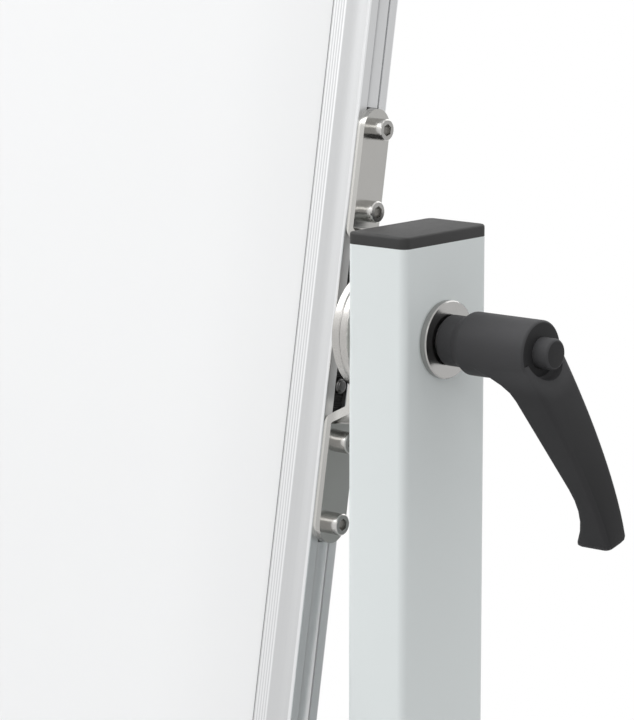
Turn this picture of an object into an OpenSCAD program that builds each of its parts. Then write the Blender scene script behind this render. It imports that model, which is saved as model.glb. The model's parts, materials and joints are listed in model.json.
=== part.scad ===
/* [Board] */
// Width over the aluminium frame
board_w = 740; // [600:10:1200]
// Height over the aluminium frame
board_h = 1040; // [700:10:1200]
// Lean of the board away from the writer, in degrees
board_lean = 10; // [0:1:30]
// Height of the pivot axis above the floor
pivot_z = 1290; // [1150:10:1500]
// Thickness of the panel with both writing sheets
panel_t = 17.5; // [12:0.5:18]
// Thickness of one writing sheet
sheet_t = 0.5; // [0.4:0.1:1.5]

/* [Frame rail] */
// Width of a rail seen from the front
rail_face = 22.4; // [22:0.1:30]
// Depth of a rail from front to back
rail_depth = 20.8; // [20.2:0.1:30]
// Width of the grooved bead beside the panel
bead_w = 8.9; // [6:0.1:10]
// Number of fine grooves along the bead
bead_grooves = 5; // [2:1:6]
// Radius of one fine groove
groove_r = 0.6; // [0.4:0.05:0.8]
// Depth of one fine groove
groove_depth = 0.1; // [0.05:0.01:0.2]
// Depth to which the panel's edge goes into the rail
panel_grip = 9; // [5:0.1:9.5]
// Wall between the chambers of the rail
rail_wall = 1.6; // [1.2:0.1:1.8]
// Rounding of the rail's outer edges
rail_edge_r = 1.2; // [0.4:0.1:1.4]
// Depth of the shallow cove between bead and outer edge
cove_sag = 0.9; // [0.5:0.1:1.2]
// Width of the slot along the outer edge
slot_w = 8.6; // [8:0.1:10]
// Thickness of the lips beside the slot
slot_lip = 2; // [1.5:0.1:2.5]
// Width of the chamber behind the lips
chamber_w = 15; // [13.5:0.1:16]
// Depth of the chamber behind the lips
chamber_d = 6; // [5:0.1:6.5]
// Inner radius of the corner pieces
corner_r = 3; // [2:0.5:10]
// Length of the tongues that hold a corner piece in the rails
tongue_len = 25; // [15:1:40]

/* [Stand] */
// Width of the post tube, along the board's width
post_w = 33.5; // [25:0.5:40]
// Depth of the post tube, from front to back
post_d = 60; // [50:1:80]
// Wall of the post, foot and crossbar tubes
tube_wall = 2; // [1.5:0.1:3]
// Corner radius of the tubes
tube_r = 3.8; // [2.5:0.1:5]
// Gap between the frame and each post
side_gap = 22; // [20:0.5:36]
// How far the pivot lies in front of the middle of the post
pivot_forward = 2; // [0:0.5:6]
// Height of the post tube above the pivot axis
post_over = 43.2; // [36:0.1:80]
// Thickness of the caps on the tube ends
cap_t = 5.4; // [3:0.1:8]
// Rounding of the caps' edges
cap_edge_r = 1.2; // [0.5:0.1:2]
// Depth to which a cap goes into its tube
cap_plug = 14; // [8:1:25]
// Wall of a cap's plug
cap_wall = 2; // [1.5:0.1:3]
// Length of a foot over its end caps
foot_len = 640; // [500:10:800]
// Height of a foot tube
foot_h = 30; // [25:1:40]
// Height of the crossbar's middle above the floor
crossbar_z = 250; // [200:5:320]
// Height of the crossbar tube
crossbar_h = 60; // [50:1:80]
// Depth of the crossbar tube
crossbar_d = 30; // [25:1:40]
// Thickness of the plates that close the post and crossbar for their bolts
end_plate_t = 6; // [5:0.5:10]
// Diameter of the frame bolts
frame_bolt_d = 8; // [6:1:10]

/* [Pivot] */
// Diameter of the pivot bolt
bolt_d = 10; // [8:0.5:12]
// Diameter of the friction discs
disc_d = 56.8; // [44:0.2:58]
// Thickness of the disc on the board's bracket
board_disc_t = 4.4; // [3:0.1:5]
// Depth of the groove that keys this disc to the bracket
disc_key = 1.9; // [1:0.1:2.4]
// Thickness of the disc on the post
post_disc_t = 4; // [3:0.1:8]
// Diameter of the washer under the lever
washer_d = 35.4; // [30:0.2:45]
// Thickness of the washer under the lever
washer_t = 3.6; // [2:0.1:5]
// Width across the flats of the pivot bolt's head
bolt_head_af = 16; // [15:0.5:18]
// Thickness of the pivot bolt's head
bolt_head_t = 6; // [4:0.1:6.4]
// Outer diameter of the sleeve inside the post
sleeve_d = 17; // [14:0.5:24]

/* [Bracket] */
// Width of the bracket strip
bracket_w = 18.6; // [17:0.2:21]
// Thickness of the bracket strip
bracket_t = 4; // [2.6:0.1:4.5]
// Distance from the pivot to where the strip bends away from the rail
hat_half = 42; // [40:0.5:46]
// Slope of the bent part of the strip, in degrees
joggle_angle = 62; // [42:1:65]
// Inner radius of the bends
bend_r = 1.5; // [1:0.1:3]
// Distance from the pivot to the nearer screw
screw_first = 53; // [52:0.5:60]
// Spacing of the two screws on each side
screw_pitch = 37.5; // [25:0.5:50]
// Diameter of the slot screws
screw_d = 6; // [5:0.5:6.5]
// Diameter of the slot screws' heads
screw_head_d = 10; // [9:0.5:11]
// Height of the slot screws' heads
screw_head_h = 6; // [4:0.1:8]
// Width across the flats of the slot screws' hexagon sockets
screw_socket_af = 5; // [4:0.5:6]
// Distance from the pivot to each set screw in the slot
set_screw_at = 28; // [20:0.5:31]
// Diameter of the set screws
set_screw_d = 7; // [5:0.5:8]
// Width across the flats of the set screws' hexagon sockets
set_socket_af = 2.5; // [2:0.5:4]

/* [Lever] */
// Angle by which the arm hangs behind the vertical
lever_lean = 14; // [0:1:40]
// Length of the arm from the pivot axis
lever_len = 90; // [76:0.5:110]
// Rise of the arm's tip beyond the end of the hub
lever_rise = 27.5; // [20:0.5:34]
// How strongly the arm's outer face bows
lever_bow = 1.57; // [1.2:0.01:2]
// Thickness of the arm where it leaves the hub
lever_root_t = 19.4; // [16:0.2:23]
// Slope of the arm's underside, in degrees
lever_under = 26; // [22:0.5:30]
// Narrowing of each side of the arm, in degrees
lever_taper = 4.2; // [2:0.1:6]
// Length of the hooked toe at the tip
toe_len = 29.5; // [20:0.5:36]
// Depth of the hooked toe
toe_depth = 17; // [10:0.5:22]
// Rounding of the arm's long edges
arm_edge_r = 2.6; // [1.5:0.1:3.5]
// Diameter of the hub
hub_d = 28.6; // [26:0.2:34]
// Diameter of the neck below the hub
neck_d = 23; // [21:0.2:25]
// Length of the neck
neck_len = 8.2; // [5:0.1:12]
// Length of the flare from neck to hub
flare_len = 4.9; // [2:0.1:8]
// Length of the hub beyond the flare
hub_len = 36.8; // [34:0.2:44]
// Diameter of the steel insert in the hub
insert_d = 16; // [14:0.5:18]
// Diameter of the push button
button_d = 14; // [11:0.5:16]
// Height of the push button above the hub
button_out = 8; // [6:0.5:12]
// Travel of the push button
button_travel = 4; // [2:0.5:4.5]
// Mean diameter of the button's spring
spring_d = 10.4; // [9.6:0.1:11]
// Diameter of the spring's wire
spring_wire = 1; // [0.6:0.1:1.2]
// Number of turns in the spring
spring_turns = 3; // [2:0.5:3]

/* [Pen tray] */
// Length of the pen tray
tray_len = 420; // [250:10:520]
// Depth of the pen tray in front of the board's middle plane
tray_depth = 68; // [50:1:90]
// Height of the tray's front lip above its floor
tray_lip = 15; // [10:0.5:25]
// Wall of the tray
tray_wall = 2; // [1.5:0.1:3]
// Thickness of the tray's end caps
tray_cap_t = 3; // [2:0.5:5]
// Distance of the tray's screws from its middle
tray_screw_x = 150; // [60:5:190]

/* [Paper hook] */
// Distance of each paper hook from the middle
hook_x = 210; // [140:5:240]
// Width of a paper hook
hook_w = 18; // [14:1:30]
// Thickness of a paper hook's strap
hook_t = 3.6; // [2.5:0.1:5]
// Length of a hook's leg down the front of the rail
hook_drop = 24; // [18:1:40]
// Diameter of the peg that carries the pad
peg_d = 7; // [5:0.5:9]
// Length of the peg
peg_len = 15; // [10:1:30]

/* [Castor] */
// Diameter of a castor wheel over its tyre
wheel_d = 60; // [50:1:64]
// Width of a castor tyre
tyre_w = 20; // [16:1:24]
// Thickness of a castor tyre
tyre_t = 6; // [4:0.5:8]
// Height from the floor to the underside of a foot
castor_h = 80; // [78:1:100]
// Distance of the wheel axle behind the swivel axis
castor_trail = 24; // [18:1:28]
// Distance of a castor's swivel axis from the end of its foot
castor_inset = 66; // [66:1:120]
// Diameter of a castor's stem
stem_d = 10; // [8:0.5:12]
// Diameter of a castor's axle
axle_d = 8; // [6:0.5:10]
// Thickness of a castor fork's plates
fork_t = 2.5; // [2:0.1:4]
// Length of a brake pedal beyond its pin
pedal_len = 30; // [24:1:30]

/* [Hidden] */
$fn = 64;
// Radial clearance of a pin or shaft that turns
run_fit = 0.05;
// Clearance of pieces that are pushed together
push_fit = 0.1;
// Clearance between faces that slide past each other
slide_gap = 0.3;
// Clearance of a screw in its drilled hole
hole_fit = 0.2;
// Small bevel on turned edges
bevel = 0.5;

// Frame
corner_out = corner_r + rail_face;
key_gap = rail_face - panel_grip - 2 * rail_wall - chamber_d - slot_lip;
panel_edge_gap = 0.3;
panel_half_w = board_w / 2 - rail_face + panel_grip - panel_edge_gap;
panel_half_h = board_h / 2 - rail_face + panel_grip - panel_edge_gap;
cove_w = rail_face - rail_edge_r - bead_w;
cove_r = (cove_w * cove_w / 4 + cove_sag * cove_sag) / (2 * cove_sag);
cover_recess = 0.6;
cover_sag = 1.4;
cover_rim = 0.4;
cover_flange_w = 2;
cover_flange_t = 1.5;

// Stand
post_x = board_w / 2 + side_gap;
post_mid_x = post_x + post_w / 2;
foot_w = post_d;
foot_top = castor_h + foot_h;
post_top = pivot_z + post_over;
castor_y = foot_len / 2 - castor_inset;
foot_bolt_y = post_d / 4;
crossbar_bolt_z = crossbar_h / 4;
bolt_head_r = 0.8 * frame_bolt_d;
weld_nut_h = 10;
weld_nut_wall = 4;
stem_top = castor_h + weld_nut_h + 3;

// Pivot, measured outwards from the inner face of the right-hand post
disc_gap = 0.1;
disc_back = -(post_disc_t + disc_gap + board_disc_t);
hat_face = disc_back + disc_key;
hat_inner = hat_face - bracket_t;
bolt_head_x = hat_inner - disc_gap - bolt_head_t;
screw_last = screw_first + screw_pitch;
bracket_half = screw_last + bracket_w / 2;
nut_bar_t = chamber_d - 0.5;
set_socket_depth = 1.2;
nut_bar_x = -side_gap - slot_lip - push_fit;

// Lever, measured outwards from the same face
washer_x = post_w + washer_t;
insert_x = washer_x + disc_gap;
neck_x = insert_x + 0.9;
flare_x = neck_x + neck_len;
shoulder_x = flare_x + flare_len;
hub_end = shoulder_x + hub_len;
hub_r = hub_d / 2;
hub_rim_r = 1.4;
insert_len = 21.5;
insert_end = insert_x + insert_len + push_fit;
thread_spare = 5;
bolt_end = insert_x + insert_len - thread_spare;
button_guide = 6;
button_back = hub_end - button_travel - button_guide;
spring_closed = 2.5;
button_floor = button_back - button_travel - spring_closed;
stem_r = 3.4;
stem_spare = 1.7;
stem_end = insert_end + button_travel + stem_spare;
spot_r = hub_r - 2.4;
spot_fillet = 3;
spot_sink = 0.6;
arm_set_in = 0.5;
arm_start = 2;
arm_stations = 20;
arm_end_r = 2.9;
arm_fillet_end = 19;
arm_fillet_depth = 29;
section_steps = 4;

// Tray, measured downwards from the frame's lower edge
tray_back = rail_depth / 2 - 1.5;
tray_corner_r = 9;
tray_bead_r = 2;
tray_rib_r = 1;
tray_ribs = 2;
rib_pitch = (tray_depth - rail_depth / 2) / (tray_ribs + 1);

// Castor
axle_z = wheel_d / 2;
fork_gap = tyre_w / 2 + 1.5;
stem_flange = 4;
stem_head = 3;
fork_top = castor_h - 4.5;
fork_crown_r = 20;
fork_boss = 9;
bearing_h = 9.5;
bearing_wall = 5;
bearing_z = fork_top - bearing_h;
tyre_in_r = wheel_d / 2 - tyre_t;
tyre_round = 4;
web_half = 3;
hub_wall = 4;
rim_t = 3;
pedal_pin = [castor_trail + 10, wheel_d + 4];
pedal_pin_d = 4;
shoe_gap = 2;

castor_corners = ["front_right", "front_left", "rear_right", "rear_left"];
castor_side = [1, -1, 1, -1];
castor_end = [-1, -1, 1, 1];
braked = [0, 1];

// Colours of the finishes
paint = "#d3dada";
alu = "#d9dbdc";
steel = "#bdbab5";
black = "#3a3a3c";
white = "#f4f5f6";
grey = "#c4c7c9";
rubber = "#5b5d60";

// A corner of an outline rounded to radius r, as points along its arc
function unit(v) = v / norm(v);
function corner_arc(a, b, c, r, steps) =
    let (
        u = unit(a - b),
        w = unit(c - b),
        half = acos(u * w) / 2,
        centre = b + unit(u + w) * r / sin(half),
        from = b + u * r / tan(half) - centre,
        to = b + w * r / tan(half) - centre,
        start = atan2(from.y, from.x),
        turn = (atan2(to.y, to.x) - start + 540) % 360 - 180
    )
    [for (i = [0 : steps]) centre + r * [cos(start + turn * i / steps), sin(start + turn * i / steps)]];

// An outline of [x, y, r] corners with each corner rounded to its own r
function rounded(corners, steps = 6) =
    let (n = len(corners), p = [for (c = corners) [c.x, c.y]])
    [for (i = [0 : n - 1]) each corners[i].z > 0
        ? corner_arc(p[(i + n - 1) % n], p[i], p[(i + 1) % n], corners[i].z, steps)
        : [p[i]]];

// The half outline of a turned disc, with bevelled outer edges
function disc_outline(bore_r, r, x0, x1, b) =
    [[bore_r, x0], [r - b, x0], [r, x0 + b], [r, x1 - b], [r - b, x1], [bore_r, x1]];

// Frames of reference
module pair() {
    children();
    mirror([1, 0, 0]) children();
}
module side(s) {
    if (s > 0) children();
    else mirror([1, 0, 0]) children();
}
module on_board() {
    translate([0, -pivot_forward, pivot_z]) rotate([-board_lean, 0, 0]) children();
}
module at_pivot() {
    translate([post_x, -pivot_forward, pivot_z]) children();
}
module on_board_side() {
    on_board() translate([post_x, 0, 0]) children();
}
module along_x() {
    rotate([0, 90, 0]) children();
}
module rod_x(x0, x1, r) {
    translate([x0, 0, 0]) along_x() cylinder(h = x1 - x0, r = r);
}
module turned_x(outline) {
    along_x() rotate_extrude() polygon(outline);
}
// An outline in the upright plane from front to back, extruded across
module across(length) {
    rotate([90, 0, 90]) linear_extrude(length, center = true) children();
}

// Tube sections
module rounded_rect(w, d, r) {
    square([w - 2 * r, d], center = true);
    square([w, d - 2 * r], center = true);
    for (x = [-1, 1], y = [-1, 1])
        translate([x * (w / 2 - r), y * (d / 2 - r)]) circle(r);
}
module tube_section(w, d) {
    difference() {
        rounded_rect(w, d, tube_r);
        rounded_rect(w - 2 * tube_wall, d - 2 * tube_wall, tube_r - tube_wall);
    }
}
module end_plate(w, d, bolt_gap) {
    difference() {
        linear_extrude(end_plate_t) rounded_rect(w - 2 * tube_wall, d - 2 * tube_wall, tube_r - tube_wall);
        for (s = [-1, 1])
            translate([0, s * bolt_gap, -1]) cylinder(h = end_plate_t + 2, d = frame_bolt_d + 2 * run_fit);
    }
}

// A plastic cap with a hollow plug, seated on the end of a tube at z = 0
module tube_cap(w, d) {
    plug_w = w - 2 * tube_wall - 2 * push_fit;
    plug_d = d - 2 * tube_wall - 2 * push_fit;
    plug_r = tube_r - tube_wall - push_fit;
    hull() {
        linear_extrude(cap_t - cap_edge_r) rounded_rect(w, d, tube_r, $fn = 32);
        for (a = [30 : 30 : 90]) {
            inset = cap_edge_r * (1 - cos(a));
            linear_extrude(cap_t - cap_edge_r * (1 - sin(a)))
                rounded_rect(w - 2 * inset, d - 2 * inset, tube_r - inset, $fn = 32);
        }
    }
    translate([0, 0, -cap_plug]) linear_extrude(cap_plug + 1) difference() {
        rounded_rect(plug_w, plug_d, plug_r);
        square([plug_w - 2 * cap_wall, plug_d - 2 * cap_wall], center = true);
    }
}

// Posts, feet and crossbar
module post(s) {
    color(paint) side(s) difference() {
        translate([post_mid_x, 0, foot_top]) {
            linear_extrude(post_top - foot_top) tube_section(post_w, post_d);
            end_plate(post_w, post_d, foot_bolt_y);
        }
        at_pivot() rod_x(-1, post_w + 1, bolt_d / 2 + hole_fit);
        for (z = [-1, 1])
            translate([post_x, 0, crossbar_z + z * crossbar_bolt_z])
                rod_x(-1, post_w + 1, frame_bolt_d / 2 + hole_fit);
    }
}
module post_caps() {
    color(black) pair() translate([post_mid_x, 0, post_top]) tube_cap(post_w, post_d);
}
module foot(s) {
    inside = foot_len / 2 - cap_t;
    color(paint) side(s) translate([post_mid_x, 0, 0]) difference() {
        union() {
            translate([0, inside, castor_h + foot_h / 2]) rotate([90, 0, 0])
                linear_extrude(2 * inside) tube_section(foot_w, foot_h);
            for (e = [-1, 1])
                translate([0, e * castor_y, castor_h + tube_wall / 2])
                    cylinder(h = weld_nut_h, d = stem_d + 2 * weld_nut_wall);
        }
        for (e = [-1, 1])
            translate([0, e * castor_y, castor_h - 1]) cylinder(h = foot_h / 2, d = stem_d + 2 * run_fit);
        for (e = [-1, 1])
            translate([0, e * foot_bolt_y, castor_h + foot_h / 2])
                cylinder(h = foot_h, d = frame_bolt_d + 2 * hole_fit);
        for (e = [-1, 1])
            translate([0, e * foot_bolt_y, castor_h - 1])
                cylinder(h = foot_h / 2, r = bolt_head_r + 1);
    }
}
module foot_plugs() {
    color(black) pair() for (e = [-1, 1])
        translate([post_mid_x, e * (foot_len / 2 - cap_t), castor_h + foot_h / 2])
            rotate([-90 * e, 0, 0]) tube_cap(foot_w, foot_h);
}
module crossbar() {
    color(paint) translate([0, 0, crossbar_z]) {
        along_x() linear_extrude(2 * post_x, center = true) tube_section(crossbar_h, crossbar_d);
        pair() translate([post_x - end_plate_t, 0, 0]) rotate([0, 90, 0])
            rotate([0, 0, 90]) end_plate(crossbar_d, crossbar_h, crossbar_bolt_z);
    }
}
// A socket-head screw along -x whose head sits on x = 0
module socket_screw(d, length, head_d, head_h, socket_af) {
    socket_depth = head_h / 2;
    difference() {
        union() {
            turned_x(disc_outline(0, head_d / 2, 0, head_h, bevel));
            rod_x(-length, 1, d / 2);
        }
        translate([head_h - socket_depth, 0, 0]) along_x()
            cylinder(h = socket_depth + 1, d = socket_af / cos(30), $fn = 6);
    }
}
module frame_bolt(length) {
    socket_screw(frame_bolt_d, length, 2 * bolt_head_r, frame_bolt_d * 0.6, frame_bolt_d * 0.7);
}
module crossbar_bolts() {
    color(steel) pair() for (z = [-1, 1])
        translate([post_x + post_w, 0, crossbar_z + z * crossbar_bolt_z])
            frame_bolt(post_w + end_plate_t);
}
module foot_bolts() {
    color(steel) pair() for (e = [-1, 1])
        translate([post_mid_x, e * foot_bolt_y, foot_top - tube_wall]) rotate([0, 90, 0])
            frame_bolt(tube_wall + end_plate_t + 4);
}
module castor_stems() {
    color(steel) pair() for (e = [-1, 1])
        translate([post_mid_x, e * castor_y, 0]) rotate_extrude() polygon([
            [0, stem_top],
            [stem_d / 2, stem_top],
            [stem_d / 2, castor_h],
            [stem_d / 2 + stem_flange, castor_h],
            [stem_d / 2 + stem_flange, fork_top + disc_gap],
            [stem_d / 2, fork_top + disc_gap],
            [stem_d / 2, bearing_z - disc_gap],
            [stem_d / 2 + stem_head, bearing_z - disc_gap],
            [stem_d / 2 + stem_head, bearing_z - stem_head],
            [0, bearing_z - stem_head]
        ]);
}

// Pivot hardware that stays with the stand
module pivot_bolts() {
    color(steel) pair() at_pivot() {
        translate([bolt_head_x, 0, 0]) along_x()
            cylinder(h = bolt_head_t, d = bolt_head_af / cos(30), $fn = 6);
        rod_x(bolt_head_x + 1, bolt_end, bolt_d / 2);
    }
}
module pivot_sleeves() {
    color(steel) pair() at_pivot()
        turned_x(disc_outline(bolt_d / 2 + push_fit, sleeve_d / 2, tube_wall, post_w - tube_wall, bevel));
}
module clamp_washers() {
    color(steel) pair() at_pivot()
        turned_x(disc_outline(bolt_d / 2 + push_fit, washer_d / 2, post_w, washer_x, bevel));
}
module post_discs() {
    color(steel) pair() at_pivot()
        turned_x(disc_outline(bolt_d / 2 + push_fit, disc_d / 2, -post_disc_t, 0, bevel));
}

// Rail section: x runs from the panel outwards, y from front to back
module coved_outline() {
    difference() {
        translate([rail_face / 2, 0]) rounded_rect(rail_face, rail_depth, rail_edge_r);
        for (s = [-1, 1])
            translate([bead_w + cove_w / 2, s * (rail_depth / 2 + cove_r - cove_sag)]) circle(cove_r);
    }
}
module rail_outline() {
    difference() {
        coved_outline();
        for (s = [-1, 1], i = [1 : bead_grooves])
            translate([i * bead_w / (bead_grooves + 1), s * (rail_depth / 2 + groove_r - groove_depth)])
                circle(groove_r);
    }
}
module rail_section() {
    difference() {
        rail_outline();
        translate([-1, -panel_t / 2 - run_fit]) square([panel_grip + 1, panel_t + 2 * run_fit]);
        translate([panel_grip + rail_wall, -chamber_w / 2]) square([key_gap, chamber_w]);
        translate([rail_face - slot_lip - chamber_d, -chamber_w / 2]) square([chamber_d, chamber_w]);
        translate([rail_face - slot_lip - 1, -slot_w / 2]) square([slot_lip + 2, slot_w]);
    }
}
module upright_rail() {
    translate([board_w / 2 - rail_face, 0, 0])
        linear_extrude(board_h - 2 * corner_out, center = true) rail_section();
}
module level_rail() {
    translate([0, 0, board_h / 2 - rail_face]) rotate([0, -90, 0])
        linear_extrude(board_w - 2 * corner_out, center = true) rail_section();
}
module frame_top() {
    color(alu) on_board() level_rail();
}
module frame_bottom() {
    color(alu) on_board() mirror([0, 0, 1]) level_rail();
}
module frame_side(s) {
    color(alu) side(s) on_board() upright_rail();
}
module corner_piece() {
    pocket = corner_r + panel_grip;
    tongue_at = corner_r + panel_grip + rail_wall + push_fit;
    tongue_t = key_gap - 2 * push_fit;
    tongue_w = chamber_w - 2 * slide_gap;
    difference() {
        rotate([90, 0, 0]) rotate_extrude(angle = 90) translate([corner_r, 0]) coved_outline();
        translate([-1, -panel_t / 2 - run_fit, -1]) cube([pocket + 1, panel_t + 2 * run_fit, pocket + 1]);
    }
    translate([tongue_at, -tongue_w / 2, -tongue_len]) cube([tongue_t, tongue_w, tongue_len + 2]);
    translate([-tongue_len, -tongue_w / 2, tongue_at]) cube([tongue_len + 2, tongue_w, tongue_t]);
}
module frame_corners() {
    color(grey) on_board() pair() for (m = [0, 1])
        mirror([0, 0, m]) translate([board_w / 2 - corner_out, 0, board_h / 2 - corner_out]) corner_piece();
}

// Panel
module panel_layer(y0, y1) {
    translate([-panel_half_w, y0, -panel_half_h])
        cube([2 * panel_half_w, y1 - y0, 2 * panel_half_h]);
}
module panel_core() {
    color("#b8b2a4") on_board() panel_layer(sheet_t - panel_t / 2, panel_t / 2 - sheet_t);
}
module front_sheet() {
    color(white) on_board() panel_layer(-panel_t / 2, sheet_t - panel_t / 2);
}
module back_sheet() {
    color(white) on_board() panel_layer(panel_t / 2 - sheet_t, panel_t / 2);
}

// Strips that close the slots; x runs outwards as in the rail section
module cover_section() {
    behind = rail_face - slot_lip - push_fit;
    mouth = slot_w - 2 * push_fit;
    face = rail_face - cover_recess;
    hollow_half = mouth / 2 - cover_rim;
    hollow_r = (hollow_half * hollow_half + cover_sag * cover_sag) / (2 * cover_sag);
    difference() {
        translate([behind - cover_flange_t, -mouth / 2]) square([face - behind + cover_flange_t, mouth]);
        translate([face + hollow_r - cover_sag, 0]) circle(hollow_r);
    }
    translate([behind - cover_flange_t, -mouth / 2 - cover_flange_w])
        square([cover_flange_t, mouth + 2 * cover_flange_w]);
}
module slot_covers() {
    side_start = bracket_half + slide_gap;
    side_len = board_h / 2 - corner_out - side_start;
    low_start = tray_len / 2 + tray_cap_t + slide_gap;
    low_len = board_w / 2 - corner_out - low_start;
    color(alu) on_board() pair() {
        for (m = [0, 1])
            mirror([0, 0, m]) translate([board_w / 2 - rail_face, 0, side_start])
                linear_extrude(side_len) cover_section();
        translate([low_start, 0, rail_face - board_h / 2]) rotate([0, 90, 0])
            linear_extrude(low_len) cover_section();
    }
}

// Pivot brackets and what holds them in the slots
module bracket_strip() {
    rise = hat_inner + side_gap;
    run = rise / tan(joggle_angle);
    shift = bracket_t * tan(joggle_angle / 2);
    outer_r = bend_r + bracket_t;
    far = bracket_half + 1;
    inner = [
        [-side_gap, far, 0],
        [-side_gap, hat_half, outer_r],
        [hat_inner, hat_half - run, bend_r],
        [hat_inner, run - hat_half, bend_r],
        [-side_gap, -hat_half, outer_r],
        [-side_gap, -far, 0]
    ];
    outer = [
        [bracket_t - side_gap, -far, 0],
        [bracket_t - side_gap, -hat_half - shift, bend_r],
        [hat_face, run - hat_half - shift, outer_r],
        [hat_face, hat_half + shift - run, outer_r],
        [bracket_t - side_gap, hat_half + shift, bend_r],
        [bracket_t - side_gap, far, 0]
    ];
    rotate([90, 0, 0]) linear_extrude(bracket_w, center = true) polygon(rounded(concat(inner, outer)));
}
module bracket(s) {
    color(steel) side(s) on_board_side() difference() {
        intersection() {
            bracket_strip();
            union() {
                translate([-2 * side_gap, -bracket_w / 2, -screw_last])
                    cube([2 * side_gap, bracket_w, 2 * screw_last]);
                for (e = [-1, 1])
                    translate([0, 0, e * screw_last]) rod_x(-2 * side_gap, 0, bracket_w / 2);
            }
        }
        rod_x(-2 * side_gap, 1, bolt_d / 2 + run_fit);
        for (e = [-1, 1], at = [screw_first, screw_last])
            translate([0, 0, e * at]) rod_x(-2 * side_gap, 1, screw_d / 2 + hole_fit);
    }
}
module bracket_screws() {
    length = bracket_t + slot_lip + nut_bar_t - 1;
    color(steel) pair() on_board_side() for (e = [-1, 1], at = [screw_first, screw_last])
        translate([bracket_t - side_gap, 0, e * at])
            socket_screw(screw_d, length, screw_head_d, screw_head_h, screw_socket_af);
}
module slot_nut(length, screw_at, set_at) {
    difference() {
        translate([nut_bar_x - nut_bar_t, slide_gap - chamber_w / 2, -length / 2])
            cube([nut_bar_t, chamber_w - 2 * slide_gap, length]);
        for (at = screw_at)
            translate([0, 0, at]) rod_x(nut_bar_x - nut_bar_t - 1, nut_bar_x + 1, screw_d / 2 + run_fit);
        for (at = set_at)
            translate([0, 0, at]) rod_x(nut_bar_x - nut_bar_t - 1, nut_bar_x + 1, set_screw_d / 2 + run_fit);
    }
}
module slot_nut_bars() {
    screws = [-screw_last, -screw_first, screw_first, screw_last];
    color(black) pair() {
        on_board_side() slot_nut(2 * bracket_half, screws, [-set_screw_at, set_screw_at]);
        on_board() translate([tray_screw_x, 0, 0]) rotate([0, 90, 0])
            translate([board_h / 2 + side_gap, 0, 0]) slot_nut(20, [0], []);
    }
}
module slot_set_screws() {
    floor_x = -side_gap - slot_lip - chamber_d;
    end_x = slide_gap - side_gap;
    color(steel) pair() on_board_side() for (e = [-1, 1])
        translate([0, 0, e * set_screw_at]) difference() {
            turned_x(disc_outline(0, set_screw_d / 2, floor_x, end_x, bevel));
            translate([end_x - set_socket_depth, 0, 0]) along_x()
                cylinder(h = set_socket_depth + 1, d = set_socket_af / cos(30), $fn = 6);
        }
}
module board_discs() {
    key_w = bracket_w + 2 * push_fit;
    color(steel) pair() on_board_side() difference() {
        turned_x(disc_outline(bolt_d / 2 + run_fit, disc_d / 2, disc_back, disc_back + board_disc_t, bevel));
        translate([hat_face - 2 * disc_key, -key_w / 2, -disc_d]) cube([2 * disc_key, key_w, 2 * disc_d]);
    }
}

// Pen tray: x of its outline runs backwards, y upwards from the frame's lower edge
module tray_outline() {
    polygon(rounded([
        [tray_back, 0, 0],
        [tray_back, -tray_wall, 0],
        [-tray_depth, -tray_wall, tray_corner_r],
        [-tray_depth, tray_lip, 0],
        [tray_wall - tray_depth, tray_lip, 0],
        [tray_wall - tray_depth, 0, tray_corner_r - tray_wall]
    ], 8));
}
module below_board() {
    on_board() translate([0, 0, -board_h / 2]) children();
}
module pen_tray() {
    color(alu) below_board() difference() {
        union() {
            across(tray_len) tray_outline();
            translate([0, tray_wall / 2 - tray_depth, tray_lip])
                rod_x(-tray_len / 2, tray_len / 2, tray_bead_r);
            for (i = [1 : tray_ribs])
                translate([0, -rail_depth / 2 - i * rib_pitch, 0])
                    rod_x(-tray_len / 2, tray_len / 2, tray_rib_r);
        }
        for (s = [-1, 1])
            translate([s * tray_screw_x, 0, -tray_wall - 1])
                cylinder(h = tray_wall + 2, d = screw_d + 2 * hole_fit);
    }
}
module pen_tray_caps() {
    front = -tray_depth - 0.5;
    back = -rail_depth / 2 - slide_gap;
    top = tray_lip + tray_bead_r + 0.5;
    low = -tray_wall - 0.5;
    color(black) pair() below_board() translate([(tray_len + tray_cap_t) / 2, 0, 0]) across(tray_cap_t)
        polygon(rounded([
            [back, low, 0.5],
            [front, low, tray_corner_r],
            [front - tray_bead_r / 2, top, 3],
            [back, top, 6]
        ], 8));
}
module pen_tray_screws() {
    length = tray_wall + slot_lip + nut_bar_t - 1;
    color(steel) pair() below_board() translate([tray_screw_x, 0, -tray_wall]) rotate([0, 90, 0])
        socket_screw(screw_d, length, screw_head_d, screw_head_h / 2, screw_socket_af - 1);
}

// Clamping lever: the arm is a loft of rounded sections, r runs along the arm
function arm_half_w(r) = hub_r - arm_set_in - r * tan(lever_taper);
function arm_outer(r) = hub_end + lever_rise * (1 - pow(max(0, lever_len - r) / lever_len, lever_bow));
function arm_under(r) =
    let (
        plain = hub_end - lever_root_t + r * tan(lever_under),
        fillet = arm_fillet_depth * pow(max(0, arm_fillet_end - r) / arm_fillet_end, 2),
        toe = toe_depth * pow(max(0, r - lever_len + toe_len) / toe_len, 2)
    )
    max(plain - fillet - toe, shoulder_x + 3);
function arm_section(r, inset) =
    let (
        w = arm_half_w(r) - inset,
        x0 = arm_under(r) + inset,
        x1 = arm_outer(r) - inset,
        e = min(arm_edge_r, (x1 - x0) / 3)
    )
    [for (q = [0 : 3], k = [0 : section_steps])
        let (
            a = 90 * q + 90 * k / section_steps,
            cx = q == 0 || q == 3 ? x1 - e : x0 + e,
            cw = q < 2 ? w - e : e - w
        )
        [cx + e * cos(a), cw + e * sin(a), -r]];
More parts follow.
